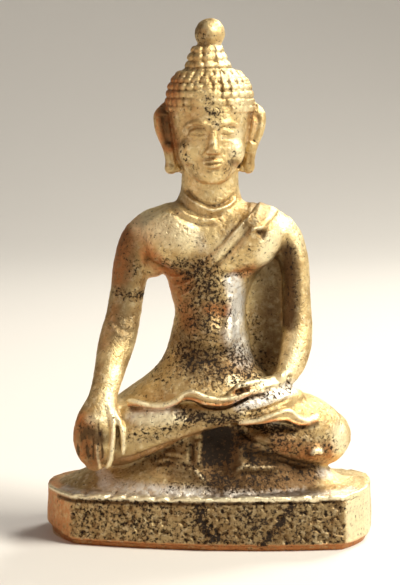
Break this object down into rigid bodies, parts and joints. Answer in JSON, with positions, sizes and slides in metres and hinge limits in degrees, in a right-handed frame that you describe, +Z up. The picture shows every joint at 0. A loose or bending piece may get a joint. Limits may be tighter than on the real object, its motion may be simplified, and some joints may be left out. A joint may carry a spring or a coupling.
{
  "type": "buddha amulet",
  "caption": "Small solid cast metal amulet: a figure seated cross-legged on a plinth, one hand over the knee and one in the lap, with a ball on its spire.",
  "frame": {"origin": "middle of the plinth's underside, on the surface it stands on", "axes": "+Z up through the ball, -Y the way the figure faces, +X towards its left hand"},
  "size_m": [0.0179, 0.0086, 0.028],
  "materials": {
    "cast_metal": "worn gilt casting, sandy skin, dark patina in the hollows and copper tones low down"
  },
  "bodies": {
    "root": {"figure": "cast_metal"}
  },
  "joints": []
}
